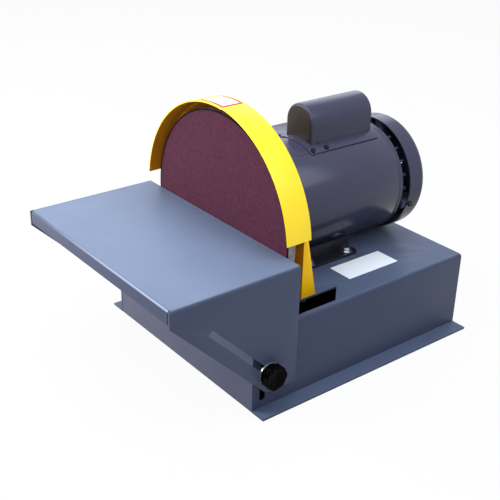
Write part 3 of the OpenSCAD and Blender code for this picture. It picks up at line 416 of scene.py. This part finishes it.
CAP_EDGE = 0.0005
fan_cap = deburred("fan_cover", CAP_EDGE, motor_enamel)
# Weighted normals keep the slotted end flat beside its round rim
finish_mesh(fan_cap, ("WEIGHTED_NORMAL", {"keep_sharp": True}))

# Capacitor cover
# A pressed cover with a half round top over the capacitor, on a saddle that follows the motor's tube.
# Its pressed edges are soft, its front is painted a darker brown as shade and as the reflection of the yellow
# guard, and small screws hold the saddle down.

DOME_W = 0.058
DOME_SIDES = 128
DOME_FOOT_SHARE = 0.9
DOME_FLAT_WITHIN = math.radians(0.5)
PRESSED_FROM_SHARE = 0.91
PRESSED_R = 0.0042
PRESSED_STEPS = 6
SADDLE_LEAD = 0.011
SADDLE_TRAIL = 0.001
SADDLE_T = 0.0018
SADDLE_GAP = 0.0001
SADDLE_EDGE = 0.0006
TUBE_SPACE_L = 0.3
SCREW_EDGE = 0.0003
DOME_FRONT = -0.8
NEAR = 1e-5
cover_low, cover_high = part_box("capacitor_cover")
shell_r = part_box("motor_shell")[1].x
dome_y = (cover_low.y + SADDLE_LEAD, cover_high.y - SADDLE_TRAIL)
dome_z = cover_high.z - DOME_W / 2
dome = round_blank("capacitor_cover_pressing", DOME_W / 2, dome_y, dome_z, sides=DOME_SIDES)
bpy.ops.object.mode_set(mode="EDIT")
bpy.ops.mesh.select_all(action="SELECT")
bpy.ops.mesh.bisect(plane_co=(0, 0, dome_z), plane_no=(0, 0, 1), clear_inner=True)
bpy.ops.mesh.select_all(action="DESELECT")
bpy.ops.mesh.select_mode(type="EDGE")
bpy.ops.mesh.select_non_manifold()
dome_foot = shaft_z + shell_r * DOME_FOOT_SHARE
bpy.ops.mesh.extrude_region_move(TRANSFORM_OT_translate={"value": (0, 0, dome_foot - dome_z)})
bpy.ops.mesh.edge_face_add()
bpy.ops.mesh.select_all(action="SELECT")
bpy.ops.mesh.dissolve_limited(angle_limit=DOME_FLAT_WITHIN)
bpy.ops.mesh.normals_make_consistent(inside=False)
bpy.ops.object.mode_set(mode="OBJECT")


def select_edges(piece, wanted):
    bpy.ops.object.mode_set(mode="EDIT")
    bpy.ops.mesh.select_mode(type="EDGE")
    bpy.ops.mesh.select_all(action="DESELECT")
    bpy.ops.object.mode_set(mode="OBJECT")
    points = piece.data.vertices
    for edge in piece.data.edges:
        edge.select = wanted(points[edge.vertices[0]].co, points[edge.vertices[1]].co)
    bpy.ops.object.mode_set(mode="EDIT")


def at(value, *places):
    return any(abs(value - place) < NEAR for place in places)


def is_pressed(start, end):
    on_one_end = at(start.y, *dome_y) and at(start.y, end.y)
    return on_one_end and max(start.z, end.z) > shaft_z + shell_r * PRESSED_FROM_SHARE


select_edges(dome, is_pressed)
bpy.ops.mesh.bevel(offset=PRESSED_R, segments=PRESSED_STEPS, profile=0.5)
bpy.ops.object.mode_set(mode="OBJECT")
dome_middle = sum(dome_y) / 2
tube_space = round_blank("tube_space", shell_r + SADDLE_GAP,
                         (dome_middle - TUBE_SPACE_L / 2, dome_middle + TUBE_SPACE_L / 2), shaft_z)
bpy.ops.object.select_all(action="DESELECT")
dome.select_set(True)
finish_mesh(dome, ("BOOLEAN", {"object": tube_space, "operation": "DIFFERENCE", "solver": "EXACT"}))
bpy.data.objects.remove(tube_space)
saddle_x = cover_high.x
saddle = rolled_strip(
    "capacitor_saddle", shell_r + SADDLE_GAP + SADDLE_T, SADDLE_T, (cover_low.y, cover_high.y),
    [((-saddle_x, 0, 0), (1, 0, 0)), ((saddle_x, 0, 0), (-1, 0, 0)), ((0, 0, shaft_z), (0, 0, 1))],
    SADDLE_EDGE)
for piece in (dome, saddle):
    piece.data.materials.clear()
    piece.data.materials.append(motor_enamel)
    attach(piece, "base")
# Painted shade and painted reflection: the front face is darker and browner for the guard's shade and its
# warm yellow reflection
painted_shade_and_reflection = enamel("painted_shade_and_reflection", (0.031, 0.024, 0.024), rough=0.34, shine=0.15, drift=0.1,
                        peel=MOTOR_PEEL, relief=MOTOR_RELIEF)
dome.data.materials.append(painted_shade_and_reflection)
for face in dome.data.polygons:
    face.material_index = 1 if face.normal.y < DOME_FRONT else 0
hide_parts("capacitor_cover")
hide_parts("capacitor_cover")
deburred("capacitor_screws", SCREW_EDGE, black_oxide)

# Conduit box and switch
# A welded box on the left of the motor, with a screwed lid that carries a toggle switch.
# A black gland in its rear wall is ready for the supply lead.

BOX_EDGE = 0.0008
LID_EDGE = 0.0005
GLAND_EDGE = 0.0005
TOGGLE_EDGE = 0.0003
for node, edge in (("conduit_box", BOX_EDGE), ("conduit_cover", LID_EDGE)):
    deburred(node, edge, motor_enamel)
for node, edge in (("cord_gland", GLAND_EDGE), ("switch_body", SMALL_EDGE)):
    deburred(node, edge, moulded_black)
deburred("switch_toggle", TOGGLE_EDGE, zinc_plate)

# Disc
# A turned aluminium plate on the motor's shaft, with a maroon abrasive cloth disc stuck on its face.
# The cloth shows its grit as a fine sparkle of darker and lighter grains, and a dark ring at its rim is
# painted shade along the guard's edge.

PLATE_EDGE = 0.0008
CLOTH_EDGE = 0.0003
SHADED_RIM_W = 0.0025
GRIT_SCALE = 1500.0
GRIT_RELIEF = (0.35, 0.0005)
CLOTH_FRONT = -0.9
turned_alloy = metal_finish("turned_alloy", (0.2, 0.2, 0.21), rough=0.5, grain=1100.0)
deburred("disc_plate", PLATE_EDGE, turned_alloy)

grit_cloth, grit_in, grit_out = shader_group(
    "grit_cloth",
    [("Cloth", "NodeSocketColor", (0.1, 0.03, 0.06, 1)), ("Grit", "NodeSocketFloat", 1500.0),
     ("Roughness", "NodeSocketFloat", 0.8)],
    [("Color", "NodeSocketColor"), ("Roughness", "NodeSocketFloat"), ("Height", "NodeSocketFloat")])
place = shader_node(grit_cloth, "TexCoord").outputs["Object"]
grain = shader_node(grit_cloth, "TexNoise", {
    "Vector": place, "Scale": grit_in.outputs["Grit"], "Detail": 2.0})
clump = shader_node(grit_cloth, "TexNoise", {"Vector": place, "Scale": 210.0, "Detail": 3.0})
grain_tone = shader_node(grit_cloth, "MapRange", {
    "Value": grain.outputs["Fac"], "From Min": 0.3, "From Max": 0.7, "To Min": 0.55, "To Max": 1.45})
clump_tone = shader_node(grit_cloth, "MapRange", {
    "Value": clump.outputs["Fac"], "From Min": 0.3, "From Max": 0.7, "To Min": 0.86, "To Max": 1.14})
tone = shader_node(grit_cloth, "Math", {
    0: grain_tone.outputs["Result"], 1: clump_tone.outputs["Result"]}, operation="MULTIPLY")
grained = shader_node(grit_cloth, "HueSaturation", {
    "Color": grit_in.outputs["Cloth"], "Value": tone.outputs[0]})
spark = shader_node(grit_cloth, "MapRange", {
    "Value": grain.outputs["Fac"], "From Min": 0.62, "From Max": 0.72, "To Min": 0.0, "To Max": -0.3})
rough = shader_node(grit_cloth, "Math", {
    0: grit_in.outputs["Roughness"], 1: spark.outputs["Result"]}, operation="ADD")
grit_cloth.links.new(grained.outputs["Color"], grit_out.inputs["Color"])
grit_cloth.links.new(rough.outputs[0], grit_out.inputs["Roughness"])
grit_cloth.links.new(grain.outputs["Fac"], grit_out.inputs["Height"])
abrasive = grouped_material(
    "abrasive_cloth", grit_cloth,
    {"Cloth": (0.062, 0.0145, 0.0335, 1), "Grit": GRIT_SCALE, "Roughness": 0.78},
    bump=GRIT_RELIEF, Specular_IOR_Level=0.12)
# Near black painted shade for the cloth's outer ring, standing in for the band's shadow
shaded_rim = grouped_material(
    "shaded_rim", grit_cloth,
    {"Cloth": (0.012, 0.004, 0.007, 1), "Grit": GRIT_SCALE, "Roughness": 0.85},
    bump=GRIT_RELIEF, Specular_IOR_Level=0.05)


def select_faces(piece, wanted):
    bpy.ops.object.mode_set(mode="EDIT")
    bpy.ops.mesh.select_mode(type="FACE")
    bpy.ops.mesh.select_all(action="DESELECT")
    bpy.ops.object.mode_set(mode="OBJECT")
    for face in piece.data.polygons:
        face.select = wanted(face)
    bpy.ops.object.mode_set(mode="EDIT")


cloth_low, cloth_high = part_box("abrasive_disc")
cloth = round_blank("abrasive_cloth_disc", cloth_high.x, (cloth_low.y, cloth_high.y), shaft_z)
select_faces(cloth, lambda face: face.normal.y < CLOTH_FRONT)
bpy.ops.mesh.inset(thickness=SHADED_RIM_W)
bpy.ops.object.mode_set(mode="OBJECT")
finish_mesh(cloth, ("BEVEL", {"width": CLOTH_EDGE, "segments": 2, "limit_method": "ANGLE"}))
cloth.data.materials.append(abrasive)
cloth.data.materials.append(shaded_rim)
for face in cloth.data.polygons:
    from_axis = math.hypot(face.center.x, face.center.z - shaft_z)
    face.material_index = 1 if from_axis > cloth_high.x - SHADED_RIM_W else 0
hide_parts("abrasive_disc")
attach(cloth, "spindle")

# Table clamp
# A bolt through each side of the base carries a spacer and a bush that runs in the table's slot.
# The bolts and spacers are zinc plated and the bushes are plain steel.

BUSH_EDGE = 0.0003
for node in ("clamp_bolts", "clamp_spacers", "right_washer", "left_washer"):
    deburred(node, SMALL_EDGE, zinc_plate)
deburred("slot_bushes", BUSH_EDGE, bare_steel)

# Table
# One sheet folded down at both sides into slotted cheeks and at the front into a short lip.
# Its grey enamel takes a lighter tone on the wide flat top as painted light, with a little dust, and a
# painted highlight along the front fold's right half.

table_enamel = enamel("table_enamel", (0.051, 0.063, 0.111), rough=0.45, shine=0.16, drift=0.06)
# Painted light: the top's lighter tone stands in for the light that falls on it
paint_dust_and_top_light(table_enamel, (0.15, 0.19, 0.288), 0.9)
# Painted highlight along the front fold, fading out towards the left
tree = table_enamel.node_tree
surface = tree.nodes["Principled BSDF"]
slope = shader_node(tree, "SeparateXYZ", {0: shader_node(tree, "TexCoord").outputs["Normal"]})
front_fold = shader_node(tree, "Math", {0: slope.outputs["Y"], 1: slope.outputs["Z"]}, operation="MULTIPLY")
folded = shader_node(tree, "MapRange", {
    "Value": front_fold.outputs[0], "From Min": -0.36, "From Max": -0.5, "To Min": 0.0, "To Max": 0.7})
along = shader_node(tree, "SeparateXYZ", {0: shader_node(tree, "TexCoord").outputs["Object"]})
highlight_along = shader_node(tree, "MapRange", {
    "Value": along.outputs["X"], "From Min": -0.13, "From Max": 0.16, "To Min": 0.0, "To Max": 1.0})
fold_highlight = shader_node(tree, "Math", {
    0: folded.outputs["Result"], 1: highlight_along.outputs["Result"]}, operation="MULTIPLY")
highlit = shader_node(tree, "Mix", {
    0: fold_highlight.outputs[0], 6: surface.inputs["Base Color"].links[0].from_socket, 7: (0.42, 0.5, 0.66, 1)},
    data_type="RGBA")
tree.links.new(highlit.outputs[2], surface.inputs["Base Color"])
deburred("table", PAINT_EDGE, table_enamel)

# Knobs
# Black phenolic knobs with shallow lobes screw onto the clamp bolts over brass inserts.
# Their faces are slightly dished and their edges well rounded, with a high polish.

KNOB_LOBES = 7
KNOB_STEPS = 16
KNOB_R = 0.0179
KNOB_WAIST = 0.07
KNOB_ROUND = 0.0026
KNOB_SHARP_FROM = math.radians(50)
KNOB_RIM_W = 0.0045
KNOB_STEP_W = 0.002
KNOB_DISH = 0.0007
KNOB_BACK_W = 0.0068
KNOB_HUB_T = 0.003
INSERT_EDGE = 0.0003
phenolic = enamel("polished_phenolic", (0.0015, 0.0015, 0.0017), rough=0.16, shine=0.015, drift=0.1,
                  peel=500.0, relief=0.05, depth=0.0002)
clamp_at = Vector(joint_place("right_knob_turn"))


def lobe_reach(turn):
    return KNOB_R * (1 - KNOB_WAIST * (1 - math.cos(KNOB_LOBES * turn)) / 2)


def lobed_knob(node, side):
    low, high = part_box(node)
    outer, inner = (high.x, low.x) if side > 0 else (low.x, high.x)
    head = inner + side * KNOB_HUB_T
    bpy.ops.object.select_all(action="DESELECT")
    bpy.ops.mesh.primitive_cylinder_add(
        vertices=KNOB_LOBES * KNOB_STEPS, radius=1, depth=abs(outer - head),
        location=((outer + head) / 2, clamp_at.y, clamp_at.z), rotation=(0, math.pi / 2, 0))
    knob = bpy.context.object
    knob.name = node + "_moulding"
    bpy.ops.object.transform_apply(location=True, rotation=True, scale=True)
    for point in knob.data.vertices:
        turn = math.atan2(point.co.z - clamp_at.z, point.co.y - clamp_at.y)
        reach = lobe_reach(turn)
        point.co.y = clamp_at.y + math.cos(turn) * reach
        point.co.z = clamp_at.z + math.sin(turn) * reach
    select_faces(knob, lambda face: at(face.center.x, outer))
    bpy.ops.mesh.inset(thickness=KNOB_RIM_W)
    bpy.ops.mesh.inset(thickness=KNOB_STEP_W)
    bpy.ops.transform.translate(value=(-side * KNOB_DISH, 0, 0))
    bpy.ops.object.mode_set(mode="OBJECT")
    select_faces(knob, lambda face: at(face.center.x, head))
    bpy.ops.mesh.inset(thickness=KNOB_BACK_W)
    bpy.ops.mesh.extrude_region_move(TRANSFORM_OT_translate={"value": (inner - head, 0, 0)})
    bpy.ops.object.mode_set(mode="OBJECT")
    finish_mesh(knob, ("BEVEL", {"width": KNOB_ROUND, "segments": 4, "limit_method": "ANGLE",
                                 "angle_limit": KNOB_SHARP_FROM}))
    knob.data.materials.append(phenolic)
    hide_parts(node)
    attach(knob, node)


lobed_knob("right_knob", 1)
lobed_knob("left_knob", -1)
for node in ("right_knob_insert", "left_knob_insert"):
    deburred(node, INSERT_EDGE, turned_brass)

# Labels
# Two blank vinyl labels: a white one on the deck beside the motor, and a red bordered one on the guard.
# They are thin film stuck flat to the paint, and the deck's has small round corners.

FILM_T = 0.00025
FILM_SHARE = 0.8
DECK_LABEL_W = 0.0425
DECK_LABEL_L = 0.100
DECK_LABEL_CORNER = 0.0015
DECK_LABEL_BORDER = 0.0012
DECK_LABEL_AT = (0.10725, 0.1245)
GUARD_LABEL_L = 0.053
GUARD_LABEL_BAND_SHARE = 0.84
GUARD_LABEL_BORDER = 0.0036
GUARD_LABEL_TURN = math.radians(93)
GUARD_LABEL_STRIPS = 12
LABEL_MIDDLE_R = 0.001
VINYL_LOOK = {"rough": 0.32, "shine": 0.08, "peel": 260.0, "relief": 0.03, "depth": 0.0002}
vinyl_white = enamel("vinyl_white", (0.79, 0.83, 0.9), drift=0.02, **VINYL_LOOK)
vinyl_red = enamel("vinyl_red", (0.48, 0.008, 0.003), drift=0.03, **VINYL_LOOK)


def label_blank(name, width, depth, corner, border):
    bpy.ops.object.select_all(action="DESELECT")
    bpy.ops.mesh.primitive_plane_add(size=1)
    label = bpy.context.object
    label.name = name
    label.scale = (width, depth, 1)
    bpy.ops.object.transform_apply(location=True, rotation=True, scale=True)
    bpy.ops.object.mode_set(mode="EDIT")
    bpy.ops.mesh.select_all(action="SELECT")
    if corner:
        bpy.ops.mesh.bevel(offset=corner, segments=4, affect="VERTICES")
        bpy.ops.mesh.select_all(action="SELECT")
    bpy.ops.mesh.inset(thickness=border)
    bpy.ops.object.mode_set(mode="OBJECT")
    label.data.materials.append(vinyl_white)
    return label


film_wall = ("SOLIDIFY", {"thickness": FILM_T * FILM_SHARE, "offset": -1})
deck_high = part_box("base_shell")[1].z
deck_label = label_blank("deck_label", DECK_LABEL_W, DECK_LABEL_L, DECK_LABEL_CORNER, DECK_LABEL_BORDER)
deck_label.location = (*DECK_LABEL_AT, deck_high + FILM_T)
bpy.ops.object.transform_apply(location=True, rotation=True, scale=True)
finish_mesh(deck_label, film_wall)
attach(deck_label, "base")

guard_label = label_blank("guard_label", GUARD_LABEL_L, (band_high.y - band_low.y) * GUARD_LABEL_BAND_SHARE,
                          0, GUARD_LABEL_BORDER)
guard_label.data.materials.append(vinyl_red)
for face in guard_label.data.polygons:
    face.material_index = 0 if face.center.length < LABEL_MIDDLE_R else 1
bpy.ops.object.mode_set(mode="EDIT")
for step in range(1 - GUARD_LABEL_STRIPS // 2, GUARD_LABEL_STRIPS // 2):
    bpy.ops.mesh.select_all(action="SELECT")
    bpy.ops.mesh.bisect(plane_co=(step * GUARD_LABEL_L / GUARD_LABEL_STRIPS, 0, 0), plane_no=(1, 0, 0))
bpy.ops.object.mode_set(mode="OBJECT")
for point in guard_label.data.vertices:
    turn = GUARD_LABEL_TURN - point.co.x / band_r
    reach = band_r + FILM_T
    point.co = Vector((math.cos(turn) * reach, point.co.y + (band_low.y + band_high.y) / 2,
                       shaft_z + math.sin(turn) * reach))
finish_mesh(guard_label, film_wall)
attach(guard_label, "base")

# Floor, light and camera
# A pale floor that keeps the shadow and is painted near black under the base as painted shade, a white
# surround and large soft lamps.
# The camera keeps the photo's viewing angle, from the right of the table and above it.

FLOOR_SIZE = 14
FLOOR_DROP = 0.0002
FLOOR_WHITE_SHARE = 0.94
COVERED_INSET_X = 0.03
COVERED_INSET_Y = 0.004
AMBIENT = 0.24
SENSOR_W = 36
CAMERA_LENS = 66.218
CAMERA_AT = (0.9629, -0.7788, 0.7497)
CAMERA_AZIMUTH = math.radians(51.405)
CAMERA_ELEVATION = math.radians(26.262)
CAMERA_ROLL = math.radians(1.433)

bpy.ops.object.select_all(action="DESELECT")
bpy.ops.mesh.primitive_plane_add(size=FLOOR_SIZE, location=(0, 0, -FLOOR_DROP))
floor = bpy.context.object
floor.name = "floor"
base_low, base_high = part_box("base_shell")
covered_x = (base_high.x - base_low.x) / 2 - COVERED_INSET_X
covered_y = (base_high.y - base_low.y) / 2 - COVERED_INSET_Y
covered_mid_y = (base_high.y + base_low.y) / 2


def seen_or_mirrored(tree):
    path = shader_node(tree, "LightPath").outputs
    seen = shader_node(tree, "Math", {
        0: path["Is Camera Ray"], 1: path["Is Glossy Ray"]}, operation="MAXIMUM")
    return shader_node(tree, "Math", {
        0: seen.outputs[0], 1: path["Is Transmission Ray"]}, operation="MAXIMUM").outputs[0]


def beyond(tree, value, limit):
    distance = shader_node(tree, "Math", {0: value}, operation="ABSOLUTE")
    return shader_node(tree, "Math", {0: distance.outputs[0], 1: limit}, operation="GREATER_THAN").outputs[0]


floor_paint = bpy.data.materials.new("pale_floor")
floor_paint.use_nodes = True
tree = floor_paint.node_tree
matt = tree.nodes["Principled BSDF"]
matt.inputs["Roughness"].default_value = 0.9
matt.inputs["Specular IOR Level"].default_value = 0.0
spot = shader_node(tree, "SeparateXYZ", {0: shader_node(tree, "TexCoord").outputs["Object"]})
from_middle = shader_node(tree, "Math", {0: spot.outputs["Y"], 1: covered_mid_y}, operation="SUBTRACT")
uncovered = shader_node(tree, "Math", {
    0: beyond(tree, spot.outputs["X"], covered_x), 1: beyond(tree, from_middle.outputs[0], covered_y)},
    operation="MAXIMUM")
# Painted shade: the floor under the base is near black, so slots and gaps show dark
floor_tone = shader_node(tree, "Mix", {
    0: uncovered.outputs[0], 6: (0.01, 0.01, 0.01, 1), 7: (0.6, 0.61, 0.63, 1)}, data_type="RGBA")
tree.links.new(floor_tone.outputs[2], matt.inputs["Base Color"])
open_floor = shader_node(tree, "Math", {
    0: seen_or_mirrored(tree), 1: uncovered.outputs[0]}, operation="MULTIPLY")
share = shader_node(tree, "Math", {0: open_floor.outputs[0], 1: FLOOR_WHITE_SHARE}, operation="MULTIPLY")
glow = shader_node(tree, "Emission", {"Color": (1, 1, 1, 1), "Strength": 1.0})
blend = shader_node(tree, "MixShader", {0: share.outputs[0], 1: matt.outputs[0], 2: glow.outputs[0]})
tree.links.new(blend.outputs[0], tree.nodes["Material Output"].inputs["Surface"])
floor.data.materials.append(floor_paint)

scene = bpy.context.scene
scene.view_settings.view_transform = "Standard"
world = bpy.data.worlds.new("studio")
scene.world = world
world.use_nodes = True
tree = world.node_tree
level = shader_node(tree, "MapRange", {"Value": seen_or_mirrored(tree), "To Min": AMBIENT, "To Max": 1.0})
tree.links.new(level.outputs["Result"], tree.nodes["Background"].inputs["Strength"])
tree.nodes["Background"].inputs["Color"].default_value = (1, 1, 1, 1)


def soft_lamp(name, place, aim, size, watts, colour):
    data = bpy.data.lights.new(name, "AREA")
    data.shape = "RECTANGLE"
    data.size, data.size_y = size
    data.energy = watts
    data.color = colour
    lamp = bpy.data.objects.new(name, data)
    scene.collection.objects.link(lamp)
    lamp.location = place
    lamp.rotation_mode = "QUATERNION"
    lamp.rotation_quaternion = (Vector(aim) - Vector(place)).to_track_quat("-Z", "Y")


soft_lamp("overhead", (-0.1, -0.4, 2.1), (0, 0, 0.2), (1.9, 1.9), 42, (0.88, 0.95, 1.0))
soft_lamp("front_fill", (-1.5, -1.6, 0.85), (0, -0.2, 0.2), (1.2, 0.8), 75, (1.0, 0.97, 0.94))
soft_lamp("behind_left", (-1.7, 1.05, 1.5), (0, -0.1, 0.2), (2.3, 1.7), 18, (0.74, 0.86, 1.0))
soft_lamp("right_side", (1.45, 0.55, 1.95), (0, 0, 0.2), (1.4, 1.4), 22.5, (0.86, 0.93, 1.0))
soft_lamp("near_camera", (1.35, -0.8, 1.15), (0, 0, 0.2), (0.12, 0.12), 5, (1.0, 0.97, 0.94))

lens = bpy.data.cameras.new("photo_camera")
lens.sensor_width = SENSOR_W
lens.lens = CAMERA_LENS
camera = bpy.data.objects.new("photo_camera", lens)
scene.collection.objects.link(camera)
back = Vector((math.sin(CAMERA_AZIMUTH) * math.cos(CAMERA_ELEVATION),
               -math.cos(CAMERA_AZIMUTH) * math.cos(CAMERA_ELEVATION), math.sin(CAMERA_ELEVATION)))
level_right = Vector((math.cos(CAMERA_AZIMUTH), math.sin(CAMERA_AZIMUTH), 0))
level_up = back.cross(level_right)
right = math.cos(CAMERA_ROLL) * level_right + math.sin(CAMERA_ROLL) * level_up
up = back.cross(right)
camera.matrix_world = Matrix.Translation(CAMERA_AT) @ Matrix((right, up, back)).transposed().to_4x4()
scene.camera = camera
